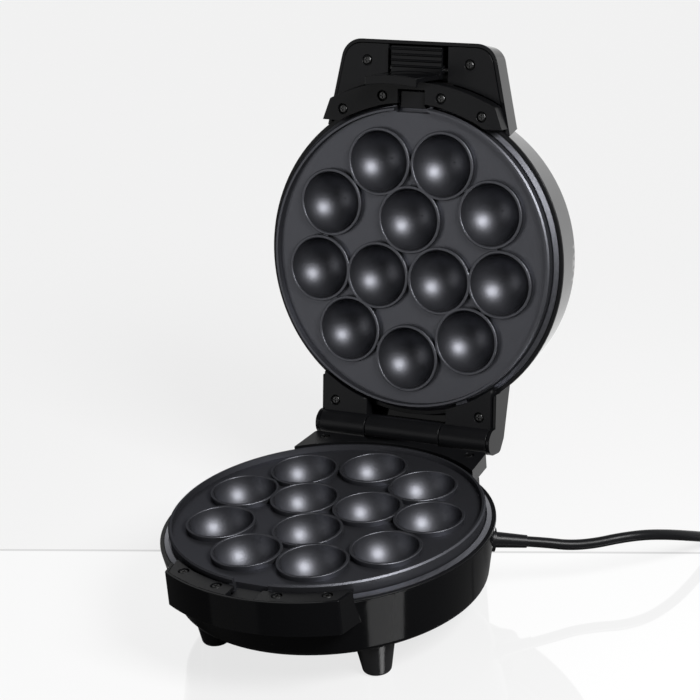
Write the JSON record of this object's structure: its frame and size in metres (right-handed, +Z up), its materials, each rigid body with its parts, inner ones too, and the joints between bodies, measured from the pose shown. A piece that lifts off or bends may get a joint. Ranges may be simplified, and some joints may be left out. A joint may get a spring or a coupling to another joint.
{
  "type": "multi snack maker",
  "caption": "Round countertop snack maker with a hinged lid, paired plates of half-round cups, a latched handle, four feet and a power cord.",
  "frame": {"origin": "on the counter under the centre of the round base, level with the bottoms of the feet", "axes": "+X to the right seen from the front grip, +Y from the grip to the hinge, +Z up"},
  "size_m": [0.4016, 0.3621, 0.3123],
  "materials": {
    "gloss_black": "polished black",
    "matte_black": "fine matte black",
    "nonstick": "charcoal non-stick coating, satin",
    "element_steel": "dull steel",
    "bright_aluminium": "bright rolled sheet",
    "spring_steel": "drawn wire",
    "screw_steel": "dark zinc",
    "pin_steel": "turned steel",
    "foot_plastic": "satin black",
    "block_plastic": "moulded cream",
    "cord_black": "smooth black",
    "wire_white": "heat-proof sleeve",
    "red_lens": "clear red",
    "green_lens": "clear green"
  },
  "bodies": {
    "base": {"base_shell": "gloss_black", "base_frame": "matte_black", "lower_plate": "nonstick", "lower_heating_element": "element_steel", "lower_reflector": "bright_aluminium", "lower_element_clips": "bright_aluminium", "base_front_screws": "screw_steel", "base_rear_screws": "screw_steel", "foot_screws": "screw_steel", "front_left_foot": "foot_plastic", "front_right_foot": "foot_plastic", "rear_left_foot": "foot_plastic", "rear_right_foot": "foot_plastic", "left_hinge_pin": "pin_steel", "right_hinge_pin": "pin_steel", "thermostat": "element_steel", "thermal_fuse": "element_steel", "terminal_block": "block_plastic", "strain_relief": "cord_black", "power_cord": "cord_black", "cord_coil": "cord_black", "cord_tail": "cord_black", "plug": "cord_black", "base_wiring": "wire_white", "cord_clamp": "matte_black"},
    "lid": {"lid_shell": "gloss_black", "lid_frame": "matte_black", "lid_handle_cover": "matte_black", "upper_plate": "nonstick", "upper_heating_element": "element_steel", "upper_reflector": "bright_aluminium", "upper_element_clips": "bright_aluminium", "latch_pin": "pin_steel", "lid_front_screws": "screw_steel", "lid_ear_screws": "screw_steel", "lid_handle_screws": "screw_steel", "power_lamp_lens": "red_lens", "ready_lamp_lens": "green_lens", "lid_wiring": "wire_white"},
    "lid_latch": {"lid_latch": "gloss_black"},
    "lower_release": {"lower_plate_release": "matte_black", "lower_release_spring": "spring_steel"},
    "upper_release": {"upper_plate_release": "matte_black", "upper_release_spring": "spring_steel"}
  },
  "joints": [
    {"name": "lid_hinge", "type": "hinge", "parent": "base", "child": "lid", "pos_m": [0, 0.1111, 0.0733], "axis": [1, 0, 0], "range_deg": [0, 102.2]},
    {"name": "latch_pivot", "type": "hinge", "parent": "lid", "child": "lid_latch", "pos_m": [0, 0.1694, 0.29468], "axis": [1, 0, 0], "range_deg": [-6, 4]},
    {"name": "lower_release_slide", "type": "slide", "parent": "base", "child": "lower_release", "axis": [0, -1, 0], "range_m": [0, 0.0025], "stiffness_N_per_m": 200, "springref_m": -0.002, "deforming": ["lower_release_spring"]},
    {"name": "upper_release_slide", "type": "slide", "parent": "lid", "child": "upper_release", "axis": [0, 0.2113, 0.9774], "range_m": [0, 0.0025], "stiffness_N_per_m": 200, "springref_m": -0.002, "deforming": ["upper_release_spring"]}
  ]
}
